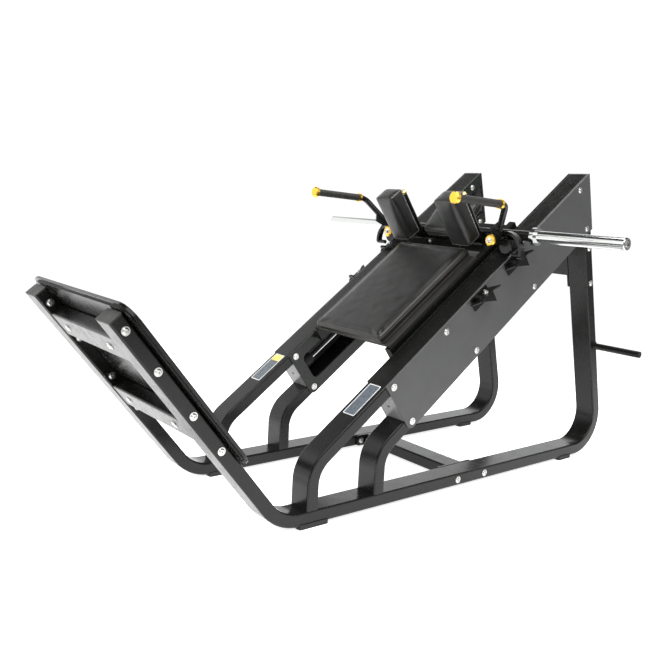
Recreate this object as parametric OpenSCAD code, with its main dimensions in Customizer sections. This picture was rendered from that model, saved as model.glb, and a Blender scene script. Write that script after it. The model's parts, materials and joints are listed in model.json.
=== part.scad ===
// Hack squat machine: two bent-tube side frames carry a pair of inclined rail boxes.
// A padded carriage slides on guide rods inside the boxes, between a footplate at the low
// end and two catches per side that hold it up.
//
// X runs along the machine, from the footplate (-X) to the tall rear end (+X). Y runs
// across it, with the user's left hand at -Y. Z is up, and the feet stand on Z = 0.
// Rail coordinates (s, y, n) follow the slide: s uphill along the rails, n square to them.

/* [Frame] */
// Overall width over the two base tubes
frame_w = 720; // [700:10:760]
// Width of the flat oval tube, across the machine
tube_w = 100; // [90:5:100]
// Thickness of the flat tube, in the plane of each side frame
tube_t = 50; // [46:1:52]
// Wall of the flat tube
tube_wall = 3; // [2:0.5:4]
// Slope of the slide above the floor
rail_angle = 36.5; // [35:0.5:38]
// Clear space between the upper and the lower rail tube
rail_gap = 130; // [124:2:136]
// Slope of the footplate above the floor
footplate_angle = 51.4; // [49:0.2:54]
// Length of the straight part of each footplate upright
upright_len = 870; // [840:10:900]
// Lean of the rear uprights from vertical
rear_lean = 14.7; // [13:0.1:16]

/* [Slide] */
// Diameter of the chromed guide rods
rod_d = 25; // [20:1:28]
// Distance along the rails between the two catches of a side
catch_pitch = 233; // [220:1:245]

/* [Carriage] */
// Width of the back pad
pad_w = 414; // [380:2:420]
// Length of the back pad
pad_len = 590; // [540:10:600]
// Thickness of the back pad
pad_t = 40; // [35:1:45]
// Length over the two weight sleeves
sleeve_span = 1704; // [1640:4:1720]
// Diameter of the weight sleeves
sleeve_d = 49.6; // [48:0.1:50]
// Height of each shoulder pad above the back pad's level
shoulder_pad_h = 214; // [190:2:220]

/* [Hidden] */
$fn = 48;

black = [0.16, 0.16, 0.16];
graphite = [0.42, 0.43, 0.44];
chrome = [0.82, 0.83, 0.85];
gold = [0.86, 0.62, 0.14];
rubber = [0.09, 0.09, 0.09];
vinyl = [0.12, 0.12, 0.12];

half_w = frame_w / 2;
tube_y = half_w - tube_w / 2;
inner_y = half_w - tube_w;
foot_h = 10;
base_z = foot_h + tube_t / 2;
bend_big = 175;       // centreline radius of the front bend of the base tube
bend_rear = 150;      // centreline radius of the rear bend of the base tube
bend_leg = 125;       // centreline radius of the rail tubes' front bends
tube_corner = 7;

// Rail tubes and boxes, in rail coordinates
rail_n0 = 53.5;                       // underside of the lower rail tube
lower_n = rail_n0 + tube_t / 2;
upper_n = lower_n + tube_t + rail_gap;
rail_top_n = upper_n + tube_t / 2;
rod_n = (lower_n + upper_n) / 2;
box_s0 = 412;                         // lower edge of the side plates
plate_t = 5;
window_s0 = box_s0 + 52;
upper_leg_x = -149;
lower_leg_x = 164;

// Rear upright: the bend's centre, and the plane of its rear face
rear_bend_x = 1414;
rear_bend_z = base_z + bend_rear;
rear_face_x = rear_bend_x + (bend_rear + tube_t / 2) / cos(rear_lean)
    + rear_bend_z * tan(rear_lean);   // where that plane meets Z = 0

// Footplate upright
front_bend_x = -200;
front_bend_z = base_z + bend_big;
foot_dir = [-cos(footplate_angle), 0, sin(footplate_angle)];
foot_nrm = [sin(footplate_angle), 0, cos(footplate_angle)];
foot_start = [front_bend_x, 0, front_bend_z] - bend_big * foot_nrm;

// The machine's middle in X: the model is built from a point below the front legs
cap_h = 5;
front_x = (foot_start + (upright_len + cap_h) * foot_dir - tube_t / 2 * foot_nrm).x;
rear_x = rear_bend_x + bend_rear + tube_t / 2;
shift_x = -(front_x + rear_x) / 2;

// Footplate
footplate_h = 692;
footplate_w = 804;
footplate_r = 62;
footplate_low = 204;                  // its lower edge, up the upright's straight part
beam_recess = 3;
beam_h = [388, 744];                  // centres of the two beams up the upright
pan_t = 15;
pan_wall = 4;
mat_t = 4;

// Carriage
pad_s0 = 575;
pad_n = 313;
board_t = 12;
board_w = 482;                        // as wide as the carriage's side tubes
side_y = 230;
side_w = 30;
side_h = 50;
side_top = pad_n - board_t;
housing_s = [1100, 1350];
housing_len = 100;
housing_w = 70;
bushing_d = 40;
run_gap = 0.05;                       // radial running clearance of a sliding fit
cross_s = 1302;
cross_n = 328;
cross_d = 42;
cross_half = 437;                     // where the collars of the sleeves start
collar_d = 72;
collar_t = 20;
shoulder_y = 178;
shoulder_w = 100;
shoulder_t = 76;
shoulder_s = 1157;
shoulder_n = 374;
post_d = 26;
post_s = 1270;
post_top = 538;
neck_w = 220;
neck_len = 190;
neck_t = 44;
neck_tilt = 13;
neck_s = 1237;
neck_n = 338;

// Lever, in machine coordinates before the shift in X
pivot_y = 307;
pivot_z = 1013;
pin_d = 20;
boss_d = 42;
boss_x = [746, 808];
grip_y = 420;
grip_z = 1159;
grip_d = 32;
handle_d = 26;
handle_bend = 45;
handle_top_x = 681;
grip_len = 242;
grip_tilt = 3;                        // how far the grip's front end is raised
ring_t = 12;                          // gold ring behind the grip
handle_rise = [handle_top_x - boss_x[1] + 27, grip_y - pivot_y, grip_z - pivot_z];
handle_pitch = atan2(norm([handle_rise.y, handle_rise.z]), -handle_rise.x);
tangent = handle_bend * tan(handle_pitch / 2);
toe_d = 18;
toe_x = 795;
toe_z = 958;
toe_y = 382;                          // where the toe ends, short of the side plate
arm_r = 80;                           // centreline radius of the hook arm
arm_y = 426;                          // where the hook arm hangs down
arm_z = 968;                          // centre of the hook arm's curve
arm_t = 12;
arm_w = 26;

// Catches
catch_s = 1220;                       // the upper catch
ledge_n = 262;                        // underside of the ledge under the bolt
ledge_t = 5;
ledge_w = 46;
nose_s = -38;                         // lower face of the nose
bolt_s = 16;                          // bolt of a catch, up-slope of the toe
nose_n = 286;                         // top of the nose that a lever's toe drops behind

// Bolts
bolt_d = 28;
bolt_h = 6;
upper_bolt_s = [for (i = [0:4]) 440 + 323 * i];
lower_bolt_s = [for (i = [0:3]) 441 + 419 * i];
beam_bolt_pitch = 164;

// ---- helpers ----

function arc(c, r, a0, a1, n) =
  [for (i = [0:n]) c + r * [cos(a0 + (a1 - a0) * i / n), sin(a0 + (a1 - a0) * i / n)]];

function rounded(a, b, r) = concat(
  arc([a / 2 - r, b / 2 - r], r, 0, 90, 4), arc([r - a / 2, b / 2 - r], r, 90, 180, 4),
  arc([r - a / 2, r - b / 2], r, 180, 270, 4), arc([a / 2 - r, r - b / 2], r, 270, 360, 4));

// Point of the machine's X-Z plane for rail coordinates s and n
function rail_point(s, n) =
  [s * cos(rail_angle) - n * sin(rail_angle), 0, s * sin(rail_angle) + n * cos(rail_angle)];

// Turns rail coordinates (s, y, n) into machine coordinates
module on_rails() { rotate([0, -rail_angle, 0]) children(); }

// Turns (h, y, depth) on a footplate upright into machine coordinates: h up the upright's
// front face from its lower end, depth from that face towards the user
module on_footplate() {
  translate(foot_start - tube_t / 2 * foot_nrm) rotate([0, footplate_angle - 180, 0])
    mirror([0, 0, 1]) children();
}

module centred() { translate([shift_x, 0, 0]) children(); }

// Parts are drawn on the right side of the machine, and mirrored for the left
module right() { centred() children(); }

module left() { centred() mirror([0, 1, 0]) children(); }

module both_sides() {
  children();
  mirror([0, 1, 0]) children();
}

module block(low, high) { translate(low) cube(high - low); }

// Sheet outline with true round corners
module round_rect(a, b, r) {
  square([a - 2 * r, b], center = true);
  square([a, b - 2 * r], center = true);
  for (x = [-1, 1], y = [-1, 1]) translate([x * (a / 2 - r), y * (b / 2 - r)]) circle(r);
}

// Flat tube section: thickness along X, width along Y. A slack makes the wall thinner on
// both of its faces.
module tube_section(slack = 0) {
  bore = 2 * tube_wall - 2 * slack;
  difference() {
    polygon(rounded(tube_t - 2 * slack, tube_w - 2 * slack, tube_corner));
    polygon(rounded(tube_t - bore, tube_w - bore, tube_corner - tube_wall));
  }
}

// Straight tube from point p, rising at angle a from +X towards +Z
module straight_tube(p, a, len) {
  translate(p) rotate([0, 90 - a, 0]) linear_extrude(len) tube_section();
}

// Straight tube that carries on from a bend: it starts inside the bend's wall, so the two
// become one solid
module tube_from_bend(p, a, len) {
  lap = 0.5;
  translate(p) rotate([0, 90 - a, 0]) translate([0, 0, -lap]) linear_extrude(len + lap)
    tube_section(0.03);
}

// Bend round a centre, between two angles of the radius
module bent_tube(c, r, a0, a1) {
  translate(c) rotate([90, 0, 0]) rotate([0, 0, a0])
    rotate_extrude(angle = a1 - a0, $fn = 96) translate([r, 0]) tube_section();
}

// Button-head bolt with its washer on the face z = 0, and a socket in its head
module button_bolt(d = bolt_d, h = bolt_h) {
  difference() {
    union() {
      cylinder(h = 2, d = d);
      translate([0, 0, 2]) cylinder(h = h - 2, d1 = d * 0.78, d2 = d * 0.5);
    }
    translate([0, 0, h - 2.5]) cylinder(h = 4, d = d * 0.3, $fn = 6);
  }
}

// ---- side frames ----

module front_upright() {
  color(black) {
    bent_tube([front_bend_x, tube_y, front_bend_z], bend_big, 270 - footplate_angle, 270);
    tube_from_bend(foot_start + [0, tube_y, 0], 180 - footplate_angle, upright_len);
  }
}

module base_rail() {
  color(black) straight_tube([front_bend_x, tube_y, base_z], 0, rear_bend_x - front_bend_x);
}

// Everything behind the rear faces of the uprights, less a skin
module behind_rear_face(skin) {
  translate([rear_face_x, 0, 0]) rotate([0, -rear_lean, 0])
    block([-skin, -600, -600], [600, 600, 1800]);
}

module rear_upright() {
  start = [rear_bend_x + bend_rear * cos(rear_lean), tube_y,
           rear_bend_z + bend_rear * sin(rear_lean)];
  color(black) {
    bent_tube([rear_bend_x, tube_y, rear_bend_z], bend_rear, 270, 360 + rear_lean);
    difference() {
      tube_from_bend(start, 90 + rear_lean, 1100);
      on_rails() block([0, 0, rail_n0], [2400, half_w + 1, 900]);
    }
  }
}

// A rail tube: a leg up from the base tube, a bend, and a straight run along the slide
module rail_tube(leg_x, n) {
  corner_z = (n + leg_x * sin(rail_angle)) / cos(rail_angle);
  tangent = bend_leg * tan((90 - rail_angle) / 2);
  leg_top = corner_z - tangent;
  start = [leg_x, 0, corner_z] + tangent * [cos(rail_angle), 0, sin(rail_angle)];
  color(black) difference() {
    union() {
      tube_from_bend([leg_x, tube_y, leg_top], 270, leg_top - base_z - tube_t / 2);
      bent_tube([leg_x + bend_leg, tube_y, leg_top], bend_leg, 90 + rail_angle, 180);
      tube_from_bend(start + [0, tube_y, 0], rail_angle, 2000);
    }
    behind_rear_face(plate_t);
  }
}

// Outline of a side plate in rail coordinates, cut off behind the uprights' rear face
module side_plate_blank() {
  corner = 26;
  difference() {
    union() {
      block([box_s0, 0, rail_n0 + corner], [1950, plate_t, rail_top_n]);
      block([box_s0 + corner, 0, rail_n0], [1950, plate_t, rail_top_n]);
      translate([box_s0 + corner, 0, rail_n0 + corner]) rotate([-90, 0, 0])
        cylinder(h = plate_t, r = corner);
    }
    rotate([0, rail_angle, 0]) behind_rear_face(0);
  }
}

module outer_plate() {
  color(graphite) on_rails() translate([0, half_w, 0]) side_plate_blank();
}

// Long slot through the inner plate, for the arms of the carriage
module window() {
  r = 24;
  low = lower_n + tube_t / 2;
  high = upper_n - tube_t / 2;
  difference() {
    union() {
      block([window_s0 + r, -1, low], [1950, plate_t + 1, high]);
      block([window_s0, -1, low + r], [1950, plate_t + 1, high - r]);
      for (n = [low + r, high - r])
        translate([window_s0 + r, -1, n]) rotate([-90, 0, 0]) cylinder(h = plate_t + 2, r = r);
    }
    rotate([0, rail_angle, 0]) translate([-13, 0, 0]) behind_rear_face(0);
  }
}

module inner_plate() {
  color(black) on_rails() translate([0, inner_y - plate_t, 0]) difference() {
    side_plate_blank();
    window();
  }
}

// Lower plates close the box between the tubes and hold the rods, upper plates cap it all
module rail_end_plates() {
  low = lower_n + tube_t / 2;
  high = upper_n - tube_t / 2;
  color(black) both_sides() {
    on_rails() difference() {
      block([box_s0, inner_y, low], [box_s0 + 6, half_w, high]);
      translate([box_s0 - 1, tube_y, rod_n]) rotate([0, 90, 0]) cylinder(h = 8, d = 13);
    }
    difference() {
      intersection() {
        behind_rear_face(plate_t);
        on_rails() block([1500, inner_y, rail_n0], [2100, half_w, rail_top_n]);
      }
      behind_rear_face(0);
    }
  }
}

module guide_rod() {
  color(chrome) difference() {
    on_rails() translate([box_s0 + 6, tube_y, rod_n]) rotate([0, 90, 0])
      cylinder(h = 1500, d = rod_d);
    behind_rear_face(plate_t);
  }
}

// A rubber buffer on a black seat, at both ends of each rod
module rod_bumpers() {
  color(rubber) both_sides() on_rails() for (place = [[box_s0 + 6, 1], [1745, -1]])
    translate([place[0], tube_y, rod_n]) rotate([0, 90 * place[1], 0]) difference() {
      union() {
        cylinder(h = 60, d = 42);
        translate([0, 0, 60]) cylinder(h = 18, d1 = 50, d2 = 56);
        translate([0, 0, 78]) cylinder(h = 30, d1 = 56, d2 = 46);
      }
      translate([0, 0, -1]) cylinder(h = 120, d = rod_d + 2 * run_gap);
    }
}

module storage_peg() {
  root = [rear_face_x - 530 * tan(rear_lean) - tube_t / 2 / cos(rear_lean), half_w, 530];
  color(black) translate(root) rotate([-90, 0, 0]) {
    cylinder(h = 4, d = 46);
    cylinder(h = 236, d = 30);
  }
}

// Moulded pads under the base tubes, with a low lip up each side
module rubber_feet() {
  color(rubber) both_sides() for (foot = [[-141, 129], [1336, 91]])
    translate([foot[0], tube_y, 0]) difference() {
      linear_extrude(foot_h + 8) round_rect(foot[1], tube_w + 8, 8);
      block([-foot[1], -tube_w / 2, foot_h], [foot[1], tube_w / 2, foot_h + 9]);
    }
}

module tube_end_caps() {
  color(rubber) both_sides() on_footplate() translate([upright_len, tube_y, tube_t / 2])
    rotate([0, 90, 0]) linear_extrude(cap_h) polygon(rounded(tube_t, tube_w, tube_corner));
}

// Blank information plates on the top faces of the rails
module placards() {
  color(chrome) both_sides() on_rails() translate([328, tube_y, rail_top_n])
    linear_extrude(1) round_rect(160, 62, 4);
}

// ---- cross beams and footplate ----

// Flat tube between the side frames with a bolted plate on each end, drawn along Y at the
// origin: the wide side of the tube lies along X
module cross_beam() {
  end_t = 8;
  reach = inner_y - end_t;
  color(black) {
    rotate([90, 0, 0]) linear_extrude(2 * reach, center = true) rotate(90) tube_section();
    both_sides() translate([0, reach, 0]) rotate([-90, 0, 0])
      linear_extrude(end_t) polygon(rounded(beam_bolt_pitch + 48, tube_t, 10));
  }
}

module footplate_beam(h) {
  on_footplate() translate([h, 0, tube_t / 2 + beam_recess]) cross_beam();
}

module at_base_beam() { translate([683, 0, base_z]) children(); }

module at_rear_beam() {
  z = 906;
  translate([rear_face_x - z * tan(rear_lean) - tube_t / 2 / cos(rear_lean), 0, z])
    rotate([0, 90 - rear_lean, 0]) children();
}

// The footplate's outline, drawn at a depth behind the uprights' front faces
module footplate_sheet(depth, h, inset) {
  on_footplate() translate([footplate_low + footplate_h / 2, 0, depth]) linear_extrude(h)
    round_rect(footplate_h - 2 * inset, footplate_w - 2 * inset, footplate_r - inset);
}

// Two stacked sheets: the shape of the footplate's tray, and of the hollow in it
module footplate_steps(depth, top, inset) {
  step = 6;
  footplate_sheet(depth, step, inset + 12);
  footplate_sheet(depth + step, top - depth - step, inset);
}

// Steel tray that lies on the beams, with its stepped rim turned up round the board
module footplate_pan() {
  back = beam_recess + tube_t;
  color(black) difference() {
    footplate_steps(back, back + pan_t, 0);
    footplate_steps(back + pan_wall, back + pan_t + 1, pan_wall);
  }
}

module footplate_board() {
  back = beam_recess + tube_t;
  color(black) footplate_steps(back + pan_wall, back + pan_t, pan_wall);
}

module footplate_mat() {
  color(rubber) footplate_sheet(beam_recess + tube_t + pan_t, mat_t, 1);
}

// ---- catches ----

// Drawn at s = 0 in rail coordinates, on the outer face of the right side plate: a back
// plate, a ledge with a flared end over a triangular flange, and the nose that stops a toe
module catch_bracket() {
  y0 = half_w + plate_t;
  outer = ledge_w - 10;
  color(black) translate([0, y0, 0]) {
    block([-56, 0, ledge_n - 36], [46, 6, rail_top_n - 2]);
    translate([0, 6, ledge_n]) linear_extrude(ledge_t)
      polygon([[-68, 0], [46, 0], [76, ledge_w], [62, ledge_w], [40, outer],
               [-40, outer], [-68, 8]]);
    translate([0, outer, 0]) rotate([90, 0, 0]) linear_extrude(6)
      polygon([[-36, ledge_n], [40, ledge_n], [40, ledge_n - 52]]);
    translate([34, 6, 0]) rotate([90, 0, 90]) linear_extrude(6)
      polygon([[0, ledge_n - 34], [0, ledge_n], [outer - 6, ledge_n], [outer - 6, ledge_n - 50]]);
    block([nose_s, 6, ledge_n + ledge_t], [nose_s + 12, outer, nose_n]);
  }
}

module catches() {
  on_rails() for (s = [catch_s, catch_s - catch_pitch]) translate([s, 0, 0]) catch_bracket();
}

// ---- bolts of the frame ----

module plate_bolts() {
  color(chrome) both_sides() on_rails() {
    for (s = upper_bolt_s) translate([s, 0, upper_n]) {
      if (s != upper_bolt_s[2])
        translate([0, half_w + plate_t, 0]) rotate([-90, 0, 0]) button_bolt();
      translate([0, inner_y - plate_t, 0]) rotate([90, 0, 0]) button_bolt();
    }
    for (s = lower_bolt_s) translate([s, 0, lower_n]) {
      translate([0, half_w + plate_t, 0]) rotate([-90, 0, 0]) button_bolt();
      translate([0, inner_y - plate_t, 0]) rotate([90, 0, 0]) button_bolt();
    }
  }
}

// Two bolts through the tube at each end of a cross beam, drawn on the beam's own axes
module beam_bolts(drop = 0) {
  both_sides() for (i = [-1, 1]) translate([i * beam_bolt_pitch / 2, 0, -drop]) {
    translate([0, half_w, 0]) rotate([-90, 0, 0]) button_bolt();
    translate([0, inner_y - 8, 0]) rotate([90, 0, 0]) button_bolt();
  }
}

module frame_bolts() {
  color(chrome) {
    for (h = beam_h) on_footplate() translate([h, 0, tube_t / 2 + beam_recess]) {
      beam_bolts(beam_recess);
      both_sides() translate([0, 175, -tube_t / 2]) rotate([180, 0, 0]) button_bolt();
    }
    at_base_beam() beam_bolts();
    at_rear_beam() beam_bolts();
  }
}

module catch_bolts() {
  color(chrome) both_sides() on_rails() for (s = [catch_s, catch_s - catch_pitch])
    translate([s + bolt_s, half_w + plate_t + 20, ledge_n + ledge_t]) button_bolt(d = 24, h = 12);
}

// ---- carriage ----

// Where the cross tube passes, from the middle outwards
module cross_tube_bore() {
  translate([cross_s, -half_w, cross_n]) rotate([-90, 0, 0])
    cylinder(h = 2 * half_w, d = cross_d);
}

// Welded frame under the pads: two side tubes, cross plates, the neck pad's plate, and
// the hangers that reach down and out through the windows to the bearing housings
module carriage_frame() {
  low = side_top - side_h;
  arm_n = [rod_n - 25, rod_n + 25];
  housing_y = tube_y - housing_w / 2;
  tail = 1424;
  inside = side_y - side_w / 2;
  color(black) on_rails() difference() {
    union() {
      both_sides() {
        difference() {
          block([pad_s0 - 4, inside, low], [tail, side_y + side_w / 2, side_top]);
          block([pad_s0 + 4, inside + 3, low + 3], [tail - 8, inside + side_w - 3, side_top - 3]);
        }
        block([cross_s - 30, side_y - 13, side_top], [cross_s + 30, side_y + 13, cross_n]);
        for (s = housing_s) {
          block([s - 65, side_y - 5, arm_n[0]], [s + 65, side_y + 5, low]);
          block([s - 40, side_y + 5, arm_n[0]], [s + 40, housing_y, arm_n[1]]);
        }
      }
      for (s = [pad_s0 + 40, 960])
        block([s, -inside, side_top - 8], [s + 60, inside, side_top]);
      block([1205, -inside, side_top - 12], [1400, inside, side_top]);
      block([1229, -inside, side_top], [1235, inside, side_top + 24]);
      translate([neck_s, 0, neck_n]) rotate([0, -neck_tilt, 0])
        block([12, -90, -6], [neck_len - 12, 90, 0]);
      block([1392, -60, side_top], [1400, 60, 370]);
    }
    cross_tube_bore();
  }
}

module cross_tube() {
  color(black) on_rails() translate([cross_s, 0, cross_n]) rotate([90, 0, 0]) difference() {
    cylinder(h = 2 * cross_half, d = cross_d, center = true);
    cylinder(h = 2 * cross_half + 2, d = cross_d - 10, center = true);
  }
}

// Chromed sleeve with its collar, bored at the end for the bolt that holds it
module weight_sleeve() {
  len = sleeve_span / 2 - cross_half - collar_t;
  color(chrome) on_rails() translate([cross_s, cross_half, cross_n]) rotate([-90, 0, 0])
    difference() {
      union() {
        cylinder(h = collar_t, d = collar_d);
        translate([0, 0, collar_t]) cylinder(h = len - 3, d = sleeve_d);
        translate([0, 0, collar_t + len - 3]) cylinder(h = 3, d1 = sleeve_d, d2 = sleeve_d - 5);
      }
      translate([0, 0, -1]) cylinder(h = collar_t + len - 16, d = 36);
      translate([0, 0, collar_t + len - 12]) cylinder(h = 20, d = 30);
    }
}

// Bolts of the sleeves' ends, the levers' pins and the neck pad's plate
module carriage_bolts() {
  color(chrome) both_sides() {
    on_rails() {
      translate([cross_s, sleeve_span / 2 - 12, cross_n]) rotate([-90, 0, 0])
        button_bolt(d = 22, h = 10);
      translate([1229, 90, side_top + 12]) rotate([0, -90, 0]) button_bolt(d = 20, h = 7);
    }
    translate([boss_x[0] - 11, pivot_y, pivot_z]) rotate([0, -90, 0])
      button_bolt(d = 26, h = 9);
  }
}

module bearing_housings() {
  color(black) on_rails() for (s = housing_s) difference() {
    block([s - housing_len / 2, tube_y - housing_w / 2, rod_n - housing_w / 2],
          [s + housing_len / 2, tube_y + housing_w / 2, rod_n + housing_w / 2]);
    translate([s - housing_len, tube_y, rod_n]) rotate([0, 90, 0])
      cylinder(h = 2 * housing_len, d = bushing_d + 2 * run_gap);
  }
}

module linear_bushings() {
  color(chrome) both_sides() on_rails() for (s = housing_s)
    translate([s - housing_len / 2, tube_y, rod_n]) rotate([0, 90, 0]) difference() {
      cylinder(h = housing_len, d = bushing_d);
      translate([0, 0, -1]) cylinder(h = housing_len + 2, d = rod_d + 2 * run_gap);
    }
}

// Closed block with rounded corners, standing on z = 0
module cushion(a, b, h, r) {
  linear_extrude(h) round_rect(a, b, r);
}

module back_pad() {
  color(vinyl) on_rails() translate([pad_s0 + pad_len / 2, 0, pad_n])
    cushion(pad_len, pad_w, pad_t, 14);
}

module back_pad_board() {
  color(black) on_rails()
    block([pad_s0 + 8, -board_w / 2, side_top], [pad_s0 + pad_len - 8, board_w / 2, pad_n]);
}

module neck_pad() {
  color(vinyl) on_rails() translate([neck_s, 0, neck_n]) rotate([0, -neck_tilt, 0])
    translate([neck_len / 2, 0, 0]) cushion(neck_len, neck_w, neck_t, 14);
}

module shoulder_pad() {
  color(vinyl) on_rails()
    translate([shoulder_s + shoulder_t / 2, shoulder_y, shoulder_n])
    cushion(shoulder_t, shoulder_w, shoulder_pad_h, 14);
}

// Round post behind a shoulder pad, with the plate that the pad is screwed to
module shoulder_post() {
  pad_back = shoulder_s + shoulder_t;
  color(black) on_rails() {
    difference() {
      translate([post_s, shoulder_y, side_top]) cylinder(h = post_top - side_top, d = post_d);
      cross_tube_bore();
    }
    block([pad_back, shoulder_y - 36, shoulder_n + 10],
          [pad_back + 6, shoulder_y + 36, shoulder_n + 150]);
    block([pad_back + 6, shoulder_y - 4, shoulder_n + 20],
          [post_s, shoulder_y + 4, shoulder_n + 140]);
  }
}

module post_caps() {
  color(gold) both_sides() on_rails() translate([post_s, shoulder_y, post_top]) {
    cylinder(h = 9, d = post_d + 4);
    translate([0, 0, 9]) cylinder(h = 5, d1 = post_d + 4, d2 = post_d - 6);
  }
}

// ---- levers, in machine coordinates ----

// Plate welded under the cross tube, with the pin that the lever turns on
module pivot_bracket() {
  plate_x = boss_x[1] + 4;
  tube = rail_point(cross_s, cross_n);
  color(black) difference() {
    union() {
      translate([plate_x, pivot_y, pivot_z]) rotate([0, 90, 0]) cylinder(h = 12, d = 46);
      block([plate_x, pivot_y - 14, pivot_z], [tube.x, pivot_y + 14, tube.z + 6]);
      translate([boss_x[0] - 1, pivot_y, pivot_z]) rotate([0, 90, 0])
        cylinder(h = plate_x - boss_x[0] + 5, d = pin_d);
    }
    translate([tube.x, 0, tube.z]) rotate([-90, 0, 0]) cylinder(h = 400, d = cross_d);
  }
}

// Gold washers that hold the levers on their pins
module pivot_collars() {
  color(gold) both_sides() translate([boss_x[0] - 1, pivot_y, pivot_z])
    rotate([0, -90, 0]) {
      cylinder(h = 6, d = 50);
      translate([0, 0, 6]) cylinder(h = 4, d1 = 50, d2 = 40);
    }
}

// Places children on the grip's axis, with z = 0 at its front end
module on_grip() {
  translate([handle_top_x - tangent, grip_y, grip_z]) rotate([0, grip_tilt, 0])
    translate([-grip_len - ring_t - 2, 0, 0]) rotate([0, 90, 0]) children();
}

// Boss on the pin, handle tube up and out to the grip, and the hook arm with its toe
module lever() {
  roll = atan2(handle_rise.y, handle_rise.z);
  color(black) difference() {
    union() {
      translate([boss_x[0], pivot_y, pivot_z]) rotate([0, 90, 0])
        cylinder(h = boss_x[1] - boss_x[0], d = boss_d);
      translate([handle_top_x, grip_y, grip_z]) rotate([-roll, 0, 0]) {
        rotate([0, 90 + handle_pitch, 0]) translate([0, 0, tangent - 1])
          cylinder(h = norm(handle_rise) - tangent + 1, d = handle_d);
        translate([-tangent, 0, -handle_bend]) rotate([90, 0, 0])
          rotate([0, 0, 90 - handle_pitch]) rotate_extrude(angle = handle_pitch)
          translate([handle_bend, 0]) circle(d = handle_d - 0.4);
      }
      on_grip() cylinder(h = grip_len + ring_t + 3, d = handle_d);
      // gusset between the boss and the handle tube
      translate([0, pivot_y, pivot_z]) rotate([-roll, 0, 0]) rotate([90, 0, 0])
        linear_extrude(8, center = true)
        polygon([[boss_x[0] + 2, 8], [boss_x[1] - 14, 14], [724, 116], [692, 58], [728, 31],
                 [boss_x[0] + 2, 33]]);
      // hook arm: over the boss, out past the side plate and down to its toe
      translate([toe_x, arm_y - arm_r, arm_z]) rotate([90, 0, 90])
        rotate_extrude(angle = 125) translate([arm_r, 0]) square([arm_t, arm_w], center = true);
      block([toe_x - arm_w / 2, arm_y - arm_t / 2, toe_z],
            [toe_x + arm_w / 2, arm_y + arm_t / 2, arm_z]);
      translate([toe_x, toe_y, toe_z]) rotate([-90, 0, 0])
        cylinder(h = arm_y + arm_t / 2 - toe_y, d = toe_d);
      translate([toe_x - 5, pivot_y + 38, pivot_z - 22]) rotate([0, 90, 0])
        cylinder(h = 10, d = 58);
    }
    translate([boss_x[0] - 1, pivot_y, pivot_z]) rotate([0, 90, 0])
      cylinder(h = boss_x[1] - boss_x[0] + 2, d = pin_d + 2 * run_gap);
  }
}

module grip() {
  color(rubber) on_grip() difference() {
    cylinder(h = grip_len, d = grip_d);
    translate([0, 0, -1]) cylinder(h = grip_len + 2, d = handle_d);
  }
}

// A closed cap in front of the grip, and a ring behind it
module grip_caps() {
  color(gold) on_grip() {
    translate([0, 0, -12]) cylinder(h = 12, d = 46);
    translate([0, 0, -16]) cylinder(h = 4, d1 = 38, d2 = 46);
    translate([0, 0, grip_len]) difference() {
      cylinder(h = ring_t, d = 39);
      translate([0, 0, -1]) cylinder(h = ring_t + 2, d = handle_d);
    }
  }
}

left() front_upright();  // left_front_upright
right() front_upright();  // right_front_upright
left() base_rail();  // left_base_rail
right() base_rail();  // right_base_rail
left() rear_upright();  // left_rear_upright
right() rear_upright();  // right_rear_upright
left() rail_tube(upper_leg_x, upper_n);  // left_upper_rail
right() rail_tube(upper_leg_x, upper_n);  // right_upper_rail
left() rail_tube(lower_leg_x, lower_n);  // left_lower_rail
right() rail_tube(lower_leg_x, lower_n);  // right_lower_rail
left() outer_plate();  // left_outer_plate
right() outer_plate();  // right_outer_plate
left() inner_plate();  // left_inner_plate
right() inner_plate();  // right_inner_plate
centred() rail_end_plates();
left() guide_rod();  // left_guide_rod
right() guide_rod();  // right_guide_rod
centred() rod_bumpers();
left() storage_peg();  // left_storage_peg
right() storage_peg();  // right_storage_peg
left() catches();  // left_catches
right() catches();  // right_catches
centred() footplate_pan();
centred() footplate_board();
centred() footplate_mat();
centred() footplate_beam(beam_h[1]);  // footplate_upper_beam
centred() footplate_beam(beam_h[0]);  // footplate_lower_beam
centred() at_base_beam() cross_beam();  // base_cross_beam
centred() at_rear_beam() cross_beam();  // rear_cross_beam
centred() rubber_feet();
centred() tube_end_caps();
centred() placards();
centred() plate_bolts();
centred() frame_bolts();
centred() catch_bolts();
centred() carriage_frame();
centred() cross_tube();
left() weight_sleeve();  // left_weight_sleeve
right() weight_sleeve();  // right_weight_sleeve
centred() carriage_bolts();
left() bearing_housings();  // left_bearing_housings
right() bearing_housings();  // right_bearing_housings
centred() linear_bushings();
centred() back_pad();
centred() back_pad_board();
centred() neck_pad();
left() shoulder_pad();  // left_shoulder_pad
right() shoulder_pad();  // right_shoulder_pad
left() shoulder_post();  // left_shoulder_post
right() shoulder_post();  // right_shoulder_post
centred() post_caps();
left() pivot_bracket();  // left_pivot_bracket
right() pivot_bracket();  // right_pivot_bracket
centred() pivot_collars();
left() lever();  // left_lever
right() lever();  // right_lever
left() grip();  // left_grip
right() grip();  // right_grip
left() grip_caps();  // left_grip_caps
right() grip_caps();  // right_grip_caps
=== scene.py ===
"""A plate-loaded hack squat machine in a white studio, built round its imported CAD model."""
import json
import math

import bmesh
import bpy
from mathutils import Matrix, Vector, noise
from mathutils.bvhtree import BVHTree


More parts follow.
